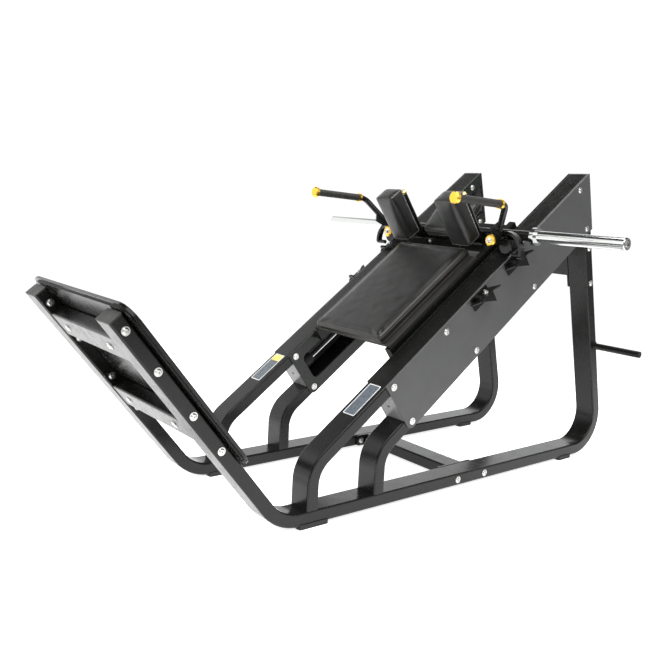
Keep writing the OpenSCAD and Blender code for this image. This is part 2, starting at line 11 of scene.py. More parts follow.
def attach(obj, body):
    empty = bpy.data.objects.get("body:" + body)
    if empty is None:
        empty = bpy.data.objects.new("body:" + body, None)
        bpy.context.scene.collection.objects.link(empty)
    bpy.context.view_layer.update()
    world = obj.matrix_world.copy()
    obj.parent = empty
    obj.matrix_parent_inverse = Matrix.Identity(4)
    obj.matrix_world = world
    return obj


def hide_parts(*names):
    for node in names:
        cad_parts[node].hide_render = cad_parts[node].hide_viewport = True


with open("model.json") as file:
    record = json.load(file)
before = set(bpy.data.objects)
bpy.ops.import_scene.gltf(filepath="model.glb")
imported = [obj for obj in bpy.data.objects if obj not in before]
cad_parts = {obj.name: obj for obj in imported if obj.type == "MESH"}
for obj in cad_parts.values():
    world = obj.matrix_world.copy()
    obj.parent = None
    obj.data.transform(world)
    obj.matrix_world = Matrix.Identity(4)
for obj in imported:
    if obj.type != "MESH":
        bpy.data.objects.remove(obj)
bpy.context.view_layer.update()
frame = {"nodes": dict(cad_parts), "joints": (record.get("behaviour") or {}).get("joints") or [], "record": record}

MM = 0.001
FRAMES = 20                 # of each cloth simulation
PRESSURE = 4.0              # of the filling, in Blender's units
SCENE = bpy.context.scene
NODES = frame["nodes"]
SLIDE = next(j for j in frame["joints"] if j["name"] == "carriage_slide")
ALONG = Vector(SLIDE["axis"]).normalized()
ACROSS = Vector((0, 1, 0))
NORMAL = ALONG.cross(ACROSS)


# ---------------------------------------------------------------- places

def axes(u, v, w, origin=(0, 0, 0)):
    """The matrix that takes (u, v, w) to the frame."""
    m = Matrix((u, v, w)).transposed().to_4x4()
    m.translation = Vector(origin)
    return m


RAIL = axes(ALONG, ACROSS, NORMAL)


def box_in(node, matrix):
    """Lowest and highest corner of a CAD node, measured in matrix's own axes."""
    inverse = matrix.inverted()
    points = [inverse @ v.co for v in NODES[node].data.vertices]
    return (Vector([min(p[i] for p in points) for i in range(3)]),
            Vector([max(p[i] for p in points) for i in range(3)]))


def solids_in(node, matrix):
    """The same two corners for each separate solid of a CAD node."""
    mesh = NODES[node].data
    work = bmesh.new()
    work.from_mesh(mesh)
    bmesh.ops.remove_doubles(work, verts=work.verts, dist=1e-6)
    inverse = matrix.inverted()
    boxes, seen = [], set()
    for start in work.verts:
        if start in seen:
            continue
        seen.add(start)
        queue, points = [start], []
        while queue:
            vert = queue.pop()
            points.append(inverse @ vert.co)
            for edge in vert.link_edges:
                other = edge.other_vert(vert)
                if other not in seen:
                    seen.add(other)
                    queue.append(other)
        boxes.append((Vector([min(p[i] for p in points) for i in range(3)]),
                      Vector([max(p[i] for p in points) for i in range(3)])))
    work.free()
    return boxes


# ---------------------------------------------------------------- camera and studio

def build_camera():
    azimuth, elevation, roll = math.radians(-39.0), math.radians(9.5), math.radians(3.0)
    back = Vector((math.sin(azimuth) * math.cos(elevation),
                   -math.cos(azimuth) * math.cos(elevation), math.sin(elevation)))
    right = Vector((math.cos(azimuth), math.sin(azimuth), 0))
    up = back.cross(right)
    turned_right = right * math.cos(roll) + up * math.sin(roll)
    turned_up = up * math.cos(roll) - right * math.sin(roll)
    data = bpy.data.cameras.new("camera")
    data.lens = 42.62
    data.sensor_width = 36
    data.clip_end = 60
    camera = bpy.data.objects.new("camera", data)
    place = (-2.1171, -2.4244, 1.1391)
    camera.matrix_world = axes(turned_right, turned_up, back, place)
    SCENE.collection.objects.link(camera)
    SCENE.camera = camera


def area_light(name, place, target, width, height, watts):
    data = bpy.data.lights.new(name, "AREA")
    data.shape = "RECTANGLE"
    data.size, data.size_y, data.energy = width, height, watts
    light = bpy.data.objects.new(name, data)
    light.location = place
    aim = Vector(target) - Vector(place)
    light.rotation_euler = aim.to_track_quat("-Z", "Y").to_euler()
    SCENE.collection.objects.link(light)


def build_world():
    """White to the camera. To the object, a bright white wall with a dark ceiling above it,
    and a dimmer room on the camera's side."""
    world = bpy.data.worlds.new("studio")
    world.use_nodes = True
    tree = world.node_tree
    tree.nodes.clear()

    def add(kind, **settings):
        made = tree.nodes.new("ShaderNode" + kind)
        for key, value in settings.items():
            setattr(made, key, value)
        return made

    def remap(value, low, high, new_low, new_high):
        made = add("MapRange", interpolation_type="SMOOTHSTEP")
        for key, number in zip(("From Min", "From Max", "To Min", "To Max"),
                               (low, high, new_low, new_high)):
            made.inputs[key].default_value = number
        tree.links.new(value, made.inputs["Value"])
        return made.outputs["Result"]

    way = add("SeparateXYZ")
    tree.links.new(add("TexCoord").outputs["Generated"], way.inputs[0])
    ceiling = remap(way.outputs["Z"], 0.55, 0.72, 1.5, 0.05)
    near_side = remap(way.outputs["Y"], -0.5, 0.45, 0.22, 1.0)
    both = add("Math", operation="MULTIPLY")
    tree.links.new(ceiling, both.inputs[0])
    tree.links.new(near_side, both.inputs[1])

    output, blend, path = add("OutputWorld"), add("MixShader"), add("LightPath")
    seen, lit = add("Background"), add("Background")
    seen.inputs["Strength"].default_value = 1.05
    seen.inputs["Color"].default_value = (1, 1, 1, 1)
    lit.inputs["Color"].default_value = (0.98, 1, 0.985, 1)
    tree.links.new(both.outputs["Value"], lit.inputs["Strength"])
    tree.links.new(path.outputs["Is Camera Ray"], blend.inputs["Fac"])
    tree.links.new(lit.outputs["Background"], blend.inputs[1])
    tree.links.new(seen.outputs["Background"], blend.inputs[2])
    tree.links.new(blend.outputs["Shader"], output.inputs["Surface"])
    SCENE.world = world


def build_floor():
    """A white sweep: a pale floor that fades out into the background."""
    size = 9.0
    mesh = bpy.data.meshes.new("floor")
    mesh.from_pydata([(-size, -size, 0), (size, -size, 0), (size, size, 0), (-size, size, 0)],
                     [], [(0, 1, 2, 3)])
    floor = bpy.data.objects.new("floor", mesh)
    SCENE.collection.objects.link(floor)
    graph = Graph("studio_floor")
    tone = graph.noise(3.0, detail=3)
    graph.set("Base Color", graph.mix(tone, (0.93, 0.93, 0.93), (0.97, 0.97, 0.97)))
    graph.set("Roughness", 0.55)
    graph.set("Specular IOR Level", 0.3)
    graph.set("Emission Color", (1, 1, 1))
    graph.set("Emission Strength", 0.8)
    reach = graph.node("VectorMath", operation="LENGTH")
    graph.put(reach.inputs[0], graph.place)
    fade = graph.remap(reach.outputs["Value"], 2.6, 4.6, 0.0, 1.0)
    clear = graph.node("BsdfTransparent")
    blend = graph.node("MixShader")
    graph.put(blend.inputs["Fac"], fade)
    graph.put(blend.inputs[1], graph.shader.outputs["BSDF"])
    graph.put(blend.inputs[2], clear.outputs["BSDF"])
    output = graph.tree.nodes["Material Output"]
    graph.put(output.inputs["Surface"], blend.outputs["Shader"])
    mesh.materials.append(graph.material)


def build_studio():
    SCENE.view_settings.view_transform = "Standard"
    build_world()
    build_floor()
    middle = (0, 0, 0.5)
    area_light("key", (-1.8, -2.6, 4.4), middle, 4.0, 4.0, 170)
    area_light("front", (-4.6, 0.6, 2.2), middle, 3.0, 3.0, 45)
    area_light("side", (3.2, -3.4, 3.0), middle, 3.0, 3.0, 22)
    area_light("top", (0.6, -0.4, 5.2), (0, 0, 0), 4.4, 2.6, 230)


# ---------------------------------------------------------------- materials

class Graph:
    """A node material built on one Principled shader, in metres of the frame at rest."""

    def __init__(self, name):
        self.material = bpy.data.materials.new(name)
        self.material.use_nodes = True
        self.tree = self.material.node_tree
        self.shader = self.tree.nodes["Principled BSDF"]
        self.place = self.tree.nodes.new("ShaderNodeTexCoord").outputs["Object"]

    def node(self, kind, inputs=(), **settings):
        made = self.tree.nodes.new("ShaderNode" + kind)
        for key, value in settings.items():
            setattr(made, key, value)
        for key, value in dict(inputs).items():
            self.put(made.inputs[key], value)
        return made

    def put(self, socket, value):
        if isinstance(value, bpy.types.NodeSocket):
            self.tree.links.new(value, socket)
        elif isinstance(value, tuple) and len(socket.default_value) == 4:
            socket.default_value = (*value, 1)
        else:
            socket.default_value = value

    def set(self, name, value):
        self.put(self.shader.inputs[name], value)

    def stretched(self, scale):
        """Places stretched by scale, for grain that runs one way."""
        return self.node("Mapping", {"Vector": self.place, "Scale": scale}).outputs["Vector"]

    def along_rail(self, scale):
        """Places turned to the rails' slope and stretched by scale."""
        slope = math.atan2(ALONG.z, ALONG.x)
        turned = self.node("VectorRotate", {"Vector": self.place, "Angle": slope},
                           rotation_type="Y_AXIS").outputs["Vector"]
        return self.node("Mapping", {"Vector": turned, "Scale": scale}).outputs["Vector"]

    def noise(self, scale, detail=4, rough=0.5, place=None):
        return self.node("TexNoise", {"Vector": place or self.place, "Scale": scale,
                                      "Detail": detail, "Roughness": rough}).outputs["Fac"]

    def cells(self, scale, feature="F1", place=None):
        return self.node("TexVoronoi", {"Vector": place or self.place, "Scale": scale},
                         feature=feature).outputs["Distance"]

    def remap(self, value, low, high, new_low, new_high):
        return self.node("MapRange", {"Value": value, "From Min": low, "From Max": high,
                                      "To Min": new_low, "To Max": new_high}).outputs["Result"]

    def math(self, operation, a, b):
        made = self.node("Math", operation=operation)
        self.put(made.inputs[0], a)
        self.put(made.inputs[1], b)
        return made.outputs["Value"]

    def mix(self, factor, a, b):
        made = self.node("Mix", data_type="RGBA")
        self.put(made.inputs["Factor"], factor)
        self.put(made.inputs[6], a)
        self.put(made.inputs[7], b)
        return made.outputs[2]

    def edges(self, radius, width=0.35):
        """1 on sharp edges and 0 on the flats."""
        soft = self.node("Bevel", {"Radius": radius}, samples=4).outputs["Normal"]
        hard = self.node("NewGeometry").outputs["Normal"]
        dot = self.node("VectorMath", operation="DOT_PRODUCT")
        self.put(dot.inputs[0], soft)
        self.put(dot.inputs[1], hard)
        return self.remap(dot.outputs["Value"], 1.0, 1.0 - width, 0.0, 1.0)

    def bump(self, height, strength, distance, under=None):
        made = self.node("Bump", {"Height": height, "Strength": strength, "Distance": distance})
        if under:
            self.put(made.inputs["Normal"], under)
        return made.outputs["Normal"]


def tinted(colour, factor):
    return tuple(min(1.0, c * factor) for c in colour)


def powder_coat(name, colour, worn, rough=(0.20, 0.30), coat=0.05, peel=0.06, shine=0.28):
    """Baked powder coat: orange peel, faint mottling, dust, and rubbed edges."""
    graph = Graph(name)
    mottle = graph.noise(9.0, detail=5)
    fleck = graph.noise(900.0, detail=1)
    base = graph.mix(mottle, tinted(colour, 0.82), tinted(colour, 1.2))
    base = graph.mix(graph.remap(fleck, 0.58, 0.75, 0.0, 0.2), base, tinted(colour, 2.2))
    patchy = graph.remap(graph.noise(38.0, detail=6, rough=0.65), 0.42, 0.66, 0.0, 0.8)
    rubbed = graph.math("MULTIPLY", graph.edges(1.6 * MM), patchy)
    graph.set("Base Color", graph.mix(rubbed, base, worn))
    smear = graph.noise(26.0, detail=6, rough=0.6)
    graph.set("Roughness", graph.remap(smear, 0.3, 0.7, *rough))
    graph.set("Specular IOR Level", shine)
    graph.set("Coat Weight", coat)
    graph.set("Coat Roughness", 0.16)
    skin = graph.noise(420.0, detail=2, rough=0.4)
    graph.set("Normal", graph.bump(skin, peel, 0.3 * MM))
    return graph.material


def metal(name, colour, rough, grain=(1, 1, 1), scratch=0.12, tone=0.12):
    """Plated or anodised metal with fine turning marks and handling smears."""
    graph = Graph(name)
    marks = graph.noise(260.0, detail=3, place=graph.stretched(grain))
    smear = graph.noise(34.0, detail=5, rough=0.6)
    graph.set("Base Color", graph.mix(smear, tinted(colour, 1 - tone), tinted(colour, 1 + tone)))
    graph.set("Metallic", 1.0)
    both = graph.math("MULTIPLY", graph.remap(marks, 0.3, 0.7, 0.75, 1.25),
                      graph.remap(smear, 0.3, 0.7, rough[0], rough[1]))
    graph.set("Roughness", both)
    graph.set("Normal", graph.bump(marks, scratch, 0.06 * MM))
    return graph.material


def rubber(name, colour, rough=(0.55, 0.75), grain=700.0):
    graph = Graph(name)
    bloom = graph.noise(30.0, detail=6, rough=0.62)
    graph.set("Base Color", graph.mix(graph.remap(bloom, 0.35, 0.7, 0.0, 1.0),
                                      colour, tinted(colour, 1.6)))
    graph.set("Roughness", graph.remap(bloom, 0.3, 0.7, *rough))
    graph.set("Specular IOR Level", 0.35)
    graph.set("Normal", graph.bump(graph.noise(grain, detail=2), 0.35, 0.3 * MM))
    return graph.material


def vinyl(name, colour, rough=(0.27, 0.40), sheen=0.03):
    """Upholstery vinyl: pebbled leather grain, fine creases and a soft sheen."""
    graph = Graph(name)
    warp = graph.noise(120.0, detail=3)
    pebble = graph.cells(620.0)
    crease = graph.cells(190.0, feature="DISTANCE_TO_EDGE")
    worn = graph.noise(7.0, detail=5, rough=0.6)
    base = graph.mix(graph.remap(worn, 0.35, 0.7, 0.0, 1.0), tinted(colour, 0.85),
                     tinted(colour, 1.35))
    base = graph.mix(graph.remap(pebble, 0.0, 0.5, 0.0, 0.35), base, tinted(colour, 0.45))
    graph.set("Base Color", base)
    smear = graph.noise(18.0, detail=6, rough=0.62)
    graph.set("Roughness", graph.remap(smear, 0.3, 0.7, *rough))
    graph.set("Sheen Weight", sheen)
    graph.set("Sheen Roughness", 0.5)
    fine = graph.bump(pebble, 0.35, 0.35 * MM)
    folds = graph.bump(graph.remap(crease, 0.0, 0.08, 0.0, 1.0), 0.14, 0.3 * MM, fine)
    graph.set("Normal", graph.bump(warp, 0.12, 1.0 * MM, folds))
    return graph.material


def plywood():
    """Black-stained plywood: its layers and grain still show."""
    graph = Graph("plywood")
    layers = graph.noise(1.0, detail=3, place=graph.along_rail((14, 40, 900)))
    grain = graph.noise(1.0, detail=6, rough=0.65, place=graph.along_rail((9, 260, 260)))
    base = graph.mix(grain, (0.008, 0.007, 0.006), (0.020, 0.018, 0.016))
    graph.set("Base Color", graph.mix(graph.remap(layers, 0.4, 0.6, 0.0, 0.5), base,
                                      (0.005, 0.005, 0.004)))
    graph.set("Roughness", graph.remap(grain, 0.3, 0.7, 0.55, 0.75))
    graph.set("Normal", graph.bump(grain, 0.3, 0.4 * MM))
    return graph.material


def printed_plate(name, colour, rough):
    graph = Graph(name)
    haze = graph.noise(60.0, detail=5, rough=0.6)
    graph.set("Base Color", graph.mix(haze, tinted(colour, 0.88), tinted(colour, 1.1)))
    graph.set("Roughness", graph.remap(haze, 0.3, 0.7, *rough))
    graph.set("Normal", graph.bump(graph.noise(500.0, detail=2), 0.12, 0.1 * MM))
    return graph.material


def build_materials():
    steel = (0.13, 0.13, 0.125)
    return {
        "black": powder_coat("black_powder_coat", (0.0052, 0.0053, 0.0048), steel),
        "gloss": powder_coat("gloss_black_powder_coat", (0.004, 0.004, 0.004), steel,
                             rough=(0.2, 0.3), coat=0.15, peel=0.05),
        "inner": powder_coat("inner_plate_coat", (0.011, 0.0135, 0.011), steel),
        "outer": powder_coat("graphite_powder_coat", (0.060, 0.060, 0.061), (0.25, 0.25, 0.25),
                             rough=(0.42, 0.56), coat=0.0, shine=0.5),
        "end_plate": powder_coat("pale_end_plate_coat", (0.16, 0.16, 0.16), (0.4, 0.4, 0.4)),
        "chrome": metal("chrome", (0.60, 0.60, 0.60), (0.10, 0.18), scratch=0.05, tone=0.06),
        "zinc": metal("zinc_steel", (0.62, 0.62, 0.60), (0.20, 0.36)),
        "gold": metal("gold_anodised", (0.88, 0.54, 0.075), (0.22, 0.36)),
        "pale_gold": metal("pale_gold_anodised", (0.90, 0.66, 0.26), (0.22, 0.36)),
        "rubber": rubber("black_rubber", (0.016, 0.016, 0.016)),
        "grip": rubber("grip_rubber", (0.024, 0.023, 0.022)),
        "cap": rubber("plastic_cap", (0.018, 0.018, 0.017), rough=(0.4, 0.55)),
        "vinyl": vinyl("black_vinyl", (0.0085, 0.0090, 0.0083)),
        "neck_vinyl": vinyl("neck_vinyl", (0.0125, 0.0140, 0.0120)),
        "piping": vinyl("piping_vinyl", (0.060, 0.048, 0.040), rough=(0.4, 0.55)),
        "thread": rubber("stitch_thread", (0.42, 0.41, 0.39), grain=2400.0),
        "dark_thread": rubber("dark_thread", (0.045, 0.042, 0.040), grain=2400.0),
        "plywood": plywood(),
        "plate": printed_plate("placard_face", (0.10, 0.115, 0.135), (0.22, 0.34)),
        "plate_edge": printed_plate("placard_border", (0.66, 0.67, 0.68), (0.3, 0.4)),
        "plate_yellow": printed_plate("placard_block", (0.78, 0.62, 0.16), (0.3, 0.4)),
    }


def dress_cad_nodes():
    """Every CAD node takes its material by its slot, or by name where one differs."""
    by_slot = {"black_powder_coat": "black", "graphite_powder_coat": "outer",
               "chrome": "chrome", "zinc_steel": "zinc", "gold_anodised": "gold",
               "black_rubber": "rubber", "black_vinyl": "vinyl", "plywood": "plywood",
               "placard": "plate"}
    by_name = {"left_lever": "gloss", "right_lever": "gloss", "left_inner_plate": "inner",
               "right_inner_plate": "inner", "tube_end_caps": "cap",
               "rail_end_plates": "end_plate", "post_caps": "pale_gold"}
    for part in frame["record"]["subparts"]:
        name = part["node"]
        material = MATERIALS[by_name.get(name, by_slot[part["material_slot"]])]
        mesh = NODES[name].data
        if not mesh.materials:
            mesh.materials.append(material)
        for index in range(len(mesh.materials)):
            mesh.materials[index] = material


# ---------------------------------------------------------------- mesh helpers

def make_piece(name, verts, faces, matrix=None, materials=(), choose=None, smooth=True):
    mesh = bpy.data.meshes.new(name)
    mesh.from_pydata([tuple(v) for v in verts], [], faces)
    if matrix is not None:
        mesh.transform(matrix)
    for material in materials:
        mesh.materials.append(MATERIALS[material])
    for index, polygon in enumerate(mesh.polygons):
        polygon.use_smooth = smooth
        if choose:
            polygon.material_index = choose[index]
    mesh.validate()
    mesh.update()
    obj = bpy.data.objects.new(name, mesh)
    SCENE.collection.objects.link(obj)
    return obj


def rounded_outline(a, b, r, step=4):
    """Points of a rectangle a x b with corners of radius r, about its middle."""
    points = []
    for corner, (x, y) in enumerate(((1, 1), (-1, 1), (-1, -1), (1, -1))):
        centre = (x * (a / 2 - r), y * (b / 2 - r))
        for i in range(step + 1):
            angle = math.pi / 2 * (corner + i / step)
            points.append((centre[0] + r * math.cos(angle), centre[1] + r * math.sin(angle)))
    return points


def evenly(points, spacing, closed=True):
    """The polyline's points again, spaced evenly."""
    points = [Vector(p) for p in points]
    if closed:
        points = points + [points[0]]
    lengths = [0.0]
    for p, q in zip(points, points[1:]):
        lengths.append(lengths[-1] + (q - p).length)
    count = max(3, round(lengths[-1] / spacing))
    result, seg = [], 0
    for i in range(count + (0 if closed else 1)):
        at = lengths[-1] * i / count
        while seg < len(points) - 2 and lengths[seg + 1] < at:
            seg += 1
        span = lengths[seg + 1] - lengths[seg] or 1
        result.append(points[seg].lerp(points[seg + 1], (at - lengths[seg]) / span))
    return result


def tube_mesh(points, radii, sides=8, closed=True):
    """Vertices and faces of a tube along points, one radius for each."""
    count = len(points)
    verts, faces = [], []
    before = None
    for i, point in enumerate(points):
        if closed:
            tangent = points[(i + 1) % count] - points[i - 1]
        else:
            tangent = points[min(i + 1, count - 1)] - points[max(i - 1, 0)]
        tangent.normalize()
        if before is None:
            before = tangent.orthogonal().normalized()
        before = (before - tangent * before.dot(tangent)).normalized()
        other = tangent.cross(before)
        for k in range(sides):
            angle = 2 * math.pi * k / sides
            out = before * math.cos(angle) + other * math.sin(angle)
            verts.append(point + out * radii[i])
    for i in range(count if closed else count - 1):
        j = (i + 1) % count
        for k in range(sides):
            n = (k + 1) % sides
            faces.append((i * sides + k, i * sides + n, j * sides + n, j * sides + k))
    if not closed:
        faces.append(tuple(range(sides - 1, -1, -1)))
        faces.append(tuple(range((count - 1) * sides, count * sides)))
    return verts, faces


def joined(parts):
    verts, faces = [], []
    for part_verts, part_faces in parts:
        start = len(verts)
        verts += part_verts
        faces += [tuple(i + start for i in face) for face in part_faces]
    return verts, faces


def stacked(outlines):
    """Vertices and faces of a closed solid through outlines of equal length, lowest first."""
    count = len(outlines[0])
    verts = [Vector(point) for outline in outlines for point in outline]
    faces = []
    for ring in range(len(outlines) - 1):
        for i in range(count):
            j = (i + 1) % count
            faces.append((ring * count + i, ring * count + j,
                          (ring + 1) * count + j, (ring + 1) * count + i))
    faces += [tuple(range(count - 1, -1, -1)), tuple(range(len(verts) - count, len(verts)))]
    return verts, faces


# ---------------------------------------------------------------- cushions

def cushion_cover(size, radius, low_roll, high_roll):
    """The sewn cover before it is stuffed: rings up the wall with a rolled edge at each end."""
    length, width, thick = size
    steps = 4
    rings = [(low_roll * (1 - math.cos(math.pi / 2 * i / steps)),
              low_roll * (1 - math.sin(math.pi / 2 * i / steps))) for i in range(steps + 1)]
    for i in range(steps + 1):
        angle = math.pi / 2 * i / steps
        rings.append((thick - high_roll * (1 - math.sin(angle)),
                      high_roll * (1 - math.cos(angle))))
    outlines = []
    for height, inset in rings:
        outline = rounded_outline(length - 2 * inset, width - 2 * inset,
                                  max(radius - inset, 1 * MM), step=6)
        outlines.append([(x, y, height) for x, y in outline])
    return stacked(outlines)


def stuff(obj, matrix, voxel, cap, held_at):
    """Voxel remesh, then cloth under pressure, each point held to within cap of its start."""
    remesh = obj.modifiers.new("remesh", "REMESH")
    remesh.mode = "VOXEL"
    remesh.voxel_size = voxel
    bpy.ops.object.select_all(action="DESELECT")
    bpy.context.view_layer.objects.active = obj
    obj.select_set(True)
    bpy.ops.object.modifier_apply(modifier="remesh")
    start = [v.co.copy() for v in obj.data.vertices]
    inverse = matrix.inverted()
    held = obj.vertex_groups.new(name="held")
    for i, co in enumerate(start):
        weight = held_at(inverse @ co)
        if weight > 0:
            held.add([i], weight, "REPLACE")
    cloth = obj.modifiers.new("cloth", "CLOTH")
    setting = cloth.settings
    setting.quality = 6
    setting.mass = 0.3
    setting.tension_stiffness = setting.compression_stiffness = 18
    setting.shear_stiffness = 8
    setting.bending_stiffness = 1.5
    setting.use_pressure = True
    setting.uniform_pressure_force = PRESSURE
    setting.effector_weights.gravity = 0
    setting.vertex_group_mass = "held"
    cloth.point_cache.frame_start, cloth.point_cache.frame_end = 1, FRAMES
    for number in range(1, FRAMES + 1):
        SCENE.frame_set(number)
    depsgraph = bpy.context.evaluated_depsgraph_get()
    moved = [v.co.copy() for v in obj.evaluated_get(depsgraph).data.vertices]
    obj.modifiers.remove(cloth)
    obj.vertex_groups.clear()
    for vert, old, new in zip(obj.data.vertices, start, moved):
        step = new - old
        if step.length > cap:
            step *= cap / step.length
        vert.co = old + step
    SCENE.frame_set(1)
    work = bmesh.new()
    work.from_mesh(obj.data)
    for _ in range(3):
        bmesh.ops.smooth_vert(work, verts=work.verts, factor=0.5, use_axis_x=True,
                              use_axis_y=True, use_axis_z=True)
    work.to_mesh(obj.data)
    work.free()
    obj.data.update()


def shape_cover(obj, matrix, shift):
    """Moves each point by shift(place), in the cushion's own axes."""
    inverse = matrix.inverted()
    for vert in obj.data.vertices:
        p = inverse @ vert.co
        vert.co = matrix @ (p + shift(p))
    obj.data.update()


def ripple(p, amount=0.5 * MM, pitch=22):
    return amount * noise.noise(Vector((p.x * pitch, p.y * pitch, p.z * pitch + 3.1)))


def on_surface(tree, points, lift):
    """The points moved on to the cushion's surface and then lift off it."""
    result = []
    for point in points:
        place, normal, _, _ = tree.find_nearest(point)
        result.append(place + normal * lift)
    return result


def smoothed_loop(points, times=2):
    for _ in range(times):
        count = len(points)
        points = [(points[i - 1] + points[i] * 2 + points[(i + 1) % count]) / 4
                  for i in range(count)]
    return points


def level_loop(size, radius, inset, height, matrix, spacing):
    """A loop round the cushion at one height."""
    outline = rounded_outline(size[0] - 2 * inset, size[1] - 2 * inset,
                              max(radius - inset, 3 * MM), step=8)
    flat = evenly([(x, y, height) for x, y in outline], spacing)
    return [matrix @ p for p in flat]


def stitches(points, length, radius):
    """Short threads along a row of evenly spaced points."""
    parts = []
    for before, after in zip(points, points[1:]):
        middle, ahead = (before + after) / 2, (after - before).normalized()
        ends = [middle + ahead * length * k for k in (-0.5, -0.35, 0.35, 0.5)]
        parts.append(tube_mesh(ends, [radius * k for k in (0.35, 1, 1, 0.35)],
                               sides=6, closed=False))
    return joined(parts)


class Cushion:
    """One stuffed pad on the carriage, standing for a CAD node."""

    def __init__(self, node, matrix, radius, rolls, voxel, cap, held_at, shift,
                 material="vinyl", grow=((0, 0, 0), (0, 0, 0))):
        """grow is how far the pad's lowest and highest corners stand out past the node's."""
        low, high = box_in(node, matrix)
        low, high = low - Vector(grow[0]), high + Vector(grow[1])
        self.node, self.radius = node, radius
        room = 1 * MM                       # for the cover to swell into, all round
        self.place = matrix @ Matrix.Translation(((low.x + high.x) / 2,
                                                  (low.y + high.y) / 2, low.z + room))
        self.size = tuple(high[i] - low[i] - 2 * room for i in range(3))
        verts, faces = cushion_cover(self.size, radius, *rolls)
        self.pad = make_piece(node + "_cover", verts, faces, self.place, [material])
        stuff(self.pad, self.place, voxel, cap, lambda p: held_at(p, self.size))
        shape_cover(self.pad, self.place, lambda p: shift(p, self.size))
        for polygon in self.pad.data.polygons:
            polygon.use_smooth = True
        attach(self.pad, "carriage")
        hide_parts(node)
        work = bmesh.new()
        work.from_mesh(self.pad.data)
        self.tree = BVHTree.FromBMesh(work)
        work.free()
        smoother = self.pad.modifiers.new("subdivision", "SUBSURF")
        smoother.levels = smoother.render_levels = 1

    def loop(self, height, inset=0.0, spacing=6 * MM):
        return level_loop(self.size, self.radius, inset, height, self.place, spacing)

    def trim(self, name, parts, material):
        verts, faces = joined(parts)
        piece = make_piece(self.node + name, verts, faces, None, [material])
        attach(piece, "carriage")

    def piping(self, loops, radius=1.5 * MM):
        parts = []
        for loop in loops:
            points = smoothed_loop(on_surface(self.tree, loop, 0.35 * radius))
            parts.append(tube_mesh(points, [radius] * len(points), sides=8))
        self.trim("_piping", parts, "piping")

    def stitching(self, rows, material="thread", length=3.2 * MM, radius=0.55 * MM):
        self.trim("_stitches", [stitches(on_surface(self.tree, row, 0.2 * MM), length, radius)
                                for row in rows], material)


def flat_pad(node, matrix, radius, crown, material, voxel):
    """A boxed pad: rolled top edge with a seam either side of it, and a seam round its foot."""
    seam = 12 * MM                          # below the top

    def held_at(p, size):
        if p.z < 4 * MM:
            return 1.0
        return 0.6 if abs(p.z - (size[2] - seam)) < voxel * 0.6 else 0.0

    def shift(p, size):
        share = max(0.0, min(1.0, (p.z - size[2] * 0.5) / (size[2] * 0.4)))
        u, v = min(1, abs(2 * p.x / size[0])), min(1, abs(2 * p.y / size[1]))
        rise = crown * (1 - u ** 4) * (1 - v ** 3) + ripple(p)
        return Vector((0, 0, rise * share))

    pad = Cushion(node, matrix, radius, (3 * MM, 6 * MM), voxel, 3 * MM, held_at, shift,
                  material)
    top = pad.size[2]
    pad.piping([pad.loop(top + 1 * MM, 7 * MM), pad.loop(top - seam), pad.loop(5 * MM)])
    pad.stitching([closed(pad.loop(top + 1 * MM, 12 * MM, 5 * MM)),
                   closed(pad.loop(top - seam - 4 * MM, 0, 5 * MM))], "dark_thread")


def closed(points):
    return points + [points[0]]


def shoulder_pad(side):
    """A tall pad: one cover wrapped round from the back edges, with a sewn panel at each end."""
    node = side + "_shoulder_pad"
    voxel = 5 * MM

    def held_at(p, size):
        if p.x > size[0] / 2 - 4 * MM:
            return 1.0
        ends = min(p.z, size[2] - p.z)
        return 0.6 if abs(ends - 7 * MM) < voxel * 0.6 else 0.0

    def shift(p, size):
        front = max(0.0, min(1.0, -2 * p.x / size[0]))
        u, v = min(1, abs(2 * p.z / size[2] - 1)), min(1, abs(2 * p.y / size[1]))
        bulge = 2 * MM * (1 - u ** 3) * (1 - v ** 3) * front
        side_bulge = 1.5 * MM * (1 - u ** 3) * max(0.0, 1 - (2 * p.x / size[0]) ** 2)
        out = math.copysign(side_bulge, p.y) if v > 0.8 else 0.0
        return Vector((-bulge - ripple(p), out, 0))

    pad = Cushion(node, RAIL, 10 * MM, (6 * MM, 5 * MM), voxel, 4 * MM, held_at, shift,
                  grow=((7 * MM, 3 * MM, 7 * MM), (0, 3 * MM, 2 * MM)))
    length, width, tall = pad.size
    pad.piping([pad.loop(4 * MM), pad.loop(tall - 4 * MM)])
    back, pitch = length / 2 - 9 * MM, 4.6 * MM
    rows = [[pad.place @ Vector((back, y, step * pitch + 10 * MM))
             for step in range(int((tall - 18 * MM) / pitch) + 1)]
            for y in (-width / 2, width / 2)]
    pad.stitching(rows)


def build_cushions():
    flat_pad("back_pad", RAIL, 16 * MM, 1.5 * MM, "vinyl", 5 * MM)
    flat_pad("neck_pad", largest_face_axes("neck_pad"), 16 * MM, 6 * MM, "neck_vinyl", 5 * MM)
    shoulder_pad("left")
    shoulder_pad("right")


def largest_face_axes(node):
    """Axes along, across and out of a CAD node's largest upward faces."""
    area = {}
    for polygon in NODES[node].data.polygons:
        if polygon.normal.z > 0.3 and abs(polygon.normal.y) < 0.01:
            key = (round(polygon.normal.x, 3), round(polygon.normal.z, 3))
            area[key] = area.get(key, 0) + polygon.area
    x, z = max(area, key=area.get)
    out = Vector((x, 0, z)).normalized()
    return axes(ACROSS.cross(out), ACROSS, out)


# ---------------------------------------------------------------- smaller pieces

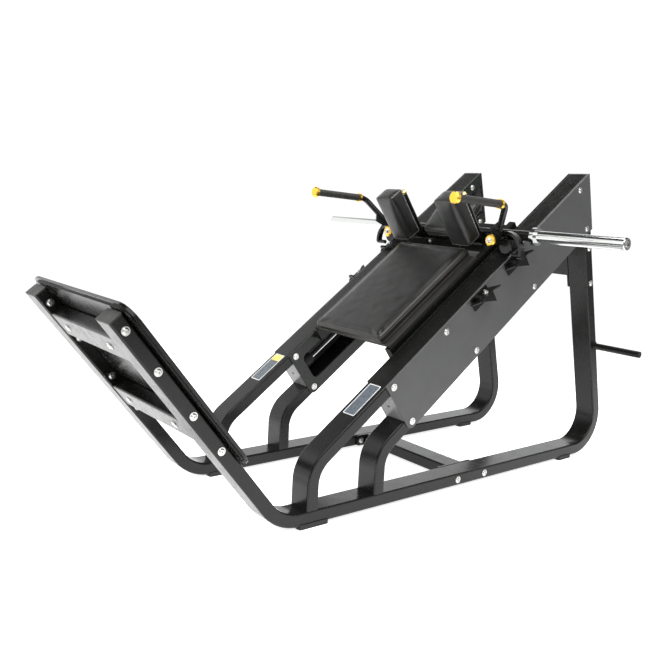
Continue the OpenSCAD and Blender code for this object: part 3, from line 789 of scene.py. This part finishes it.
def build_grips():
    """Moulded grips: a flange at each end, shallow rings between."""
    for side in ("left", "right"):
        faces = NODES[side + "_grip"].data.polygons
        ahead = max((face.normal for face in faces), key=lambda normal: normal.x)
        across = Vector((0, 0, 1)).cross(ahead).normalized()
        place = axes(ahead, across, ahead.cross(across))
        low, high = box_in(side + "_grip", place)
        middle = (low + high) / 2
        radius = (high.z - low.z) / 2
        bore, groove, rib = radius - 3 * MM, radius - 1.2 * MM, radius - 0.5 * MM
        length = high.x - low.x
        profile = [(0.0, bore), (0.0, radius - 0.6 * MM), (0.8 * MM, radius),
                   (6 * MM, radius), (7 * MM, groove)]
        at = 10 * MM
        while at < length - 12 * MM:
            profile += [(at, groove), (at + 1 * MM, rib), (at + 5 * MM, rib),
                        (at + 6 * MM, groove)]
            at += 8 * MM
        profile += [(length - 7 * MM, groove), (length - 6 * MM, radius),
                    (length - 0.8 * MM, radius), (length, radius - 0.6 * MM), (length, bore)]
        sides = 48
        verts, faces = [], []
        for x, r in profile:
            for k in range(sides):
                angle = 2 * math.pi * k / sides
                verts.append((low.x + x, middle.y + r * math.cos(angle),
                              middle.z + r * math.sin(angle)))
        count = len(profile)
        for i in range(count):
            j = (i + 1) % count
            for k in range(sides):
                n = (k + 1) % sides
                faces.append((i * sides + k, j * sides + k, j * sides + n, i * sides + n))
        grip = make_piece(side + "_grip_sleeve", verts, faces, place, ["grip"])
        split_sharp(grip, 40)
        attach(grip, side + "_hook_lever")
        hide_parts(side + "_grip")


def split_sharp(obj, degrees):
    """Shades obj smooth except over edges sharper than degrees."""
    work = bmesh.new()
    work.from_mesh(obj.data)
    bmesh.ops.recalc_face_normals(work, faces=work.faces)
    for edge in work.edges:
        if len(edge.link_faces) == 2:
            edge.smooth = edge.calc_face_angle(0) < math.radians(degrees)
    work.to_mesh(obj.data)
    work.free()


def build_mat():
    """The footplate's rubber sheet: a rim and rows of raised treads."""
    plane = largest_face_axes("footplate_mat")
    low, high = box_in("footplate_mat", plane)
    size = high - low
    place = plane @ Matrix.Translation((low + high) / 2)
    base = size.z * 0.55
    parts = []

    def slab(length, width, radius, z0, z1, soft):
        outline = rounded_outline(length, width, radius)
        inner = rounded_outline(length - 2 * soft, width - 2 * soft, radius - soft)
        return stacked([[(x, y, z0) for x, y in outline],
                        [(x, y, z1 - soft) for x, y in outline],
                        [(x, y, z1) for x, y in inner]])

    half, round_off = size / 2, 61 * MM
    parts.append(slab(size.x, size.y, round_off, -half.z, -half.z + base, 1 * MM))
    pitch = margin = 34 * MM
    tread_length, tread_width = 24 * MM, 5.2 * MM
    rows = int((size.x - 2 * margin) / pitch)
    columns = int((size.y - 2 * margin) / pitch)
    for row in range(rows + 1):
        for column in range(columns + 1):
            x = (row - rows / 2) * pitch
            y = (column - columns / 2) * pitch
            corner = max(0, abs(x) - half.x + round_off), max(0, abs(y) - half.y + round_off)
            if math.hypot(*corner) > round_off - 20 * MM:
                continue
            verts, faces = slab(tread_length, tread_width, 2.5 * MM,
                                -half.z + base - 0.2 * MM, half.z, 0.8 * MM)
            turn = math.radians(45 if (row + column) % 2 else -45)
            spin = Matrix.Translation((x, y, 0)) @ Matrix.Rotation(turn, 4, "Z")
            parts.append(([spin @ v for v in verts], faces))
    verts, faces = joined(parts)
    mat = make_piece("footplate_tread_mat", verts, faces, place, ["rubber"], smooth=False)
    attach(mat, "frame")
    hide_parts("footplate_mat")


def build_placards():
    """Blank information plates: a face inside a pale raised border, and on the right one a
    plain yellow block at its upper end."""
    for index, (low, high) in enumerate(solids_in("placards", RAIL)):
        size = high - low
        thin = min(range(3), key=lambda i: size[i])
        border, face_drop, block_length = 4 * MM, 0.25 * MM, 34 * MM
        centre = (low + high) / 2
        a, b, t = size.x, size.y if thin == 2 else size.z, size[thin]
        rings = [(0, -t / 2), (0, t / 2), (border, t / 2), (border + 0.3 * MM, t / 2 - face_drop)]
        outlines = []
        for inset, z in rings:
            ring = rounded_outline(a - 2 * inset, b - 2 * inset, max(5 * MM - inset, 1 * MM))
            outlines.append([(x, y, z) for x, y in ring])
        verts, faces = stacked(outlines)
        choose = [1] * (len(faces) - 1) + [0]
        if centre.y > 0:
            block, half_b = a / 2 - border, b / 2 - border
            start, z = len(verts), t / 2 + 0.05 * MM
            verts += [Vector((block - block_length, -half_b, z)), Vector((block, -half_b, z)),
                      Vector((block, half_b, z)), Vector((block - block_length, half_b, z))]
            faces.append((start, start + 1, start + 2, start + 3))
            choose.append(2)
        place = RAIL @ Matrix.Translation(centre)
        if thin == 1:
            flip = 1 if centre.y < 0 else -1
            place = place @ Matrix.Rotation(math.radians(90 * flip), 4, "X")
        name = ("left" if centre.y < 0 else "right") + f"_placard_{index}"
        plate = make_piece(name, verts, faces, place,
                           ["plate", "plate_edge", "plate_yellow"], choose, smooth=False)
        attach(plate, "frame")
        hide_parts("placards")


build_camera()
MATERIALS = build_materials()
build_studio()
dress_cad_nodes()
build_cushions()
build_grips()
build_mat()
build_placards()
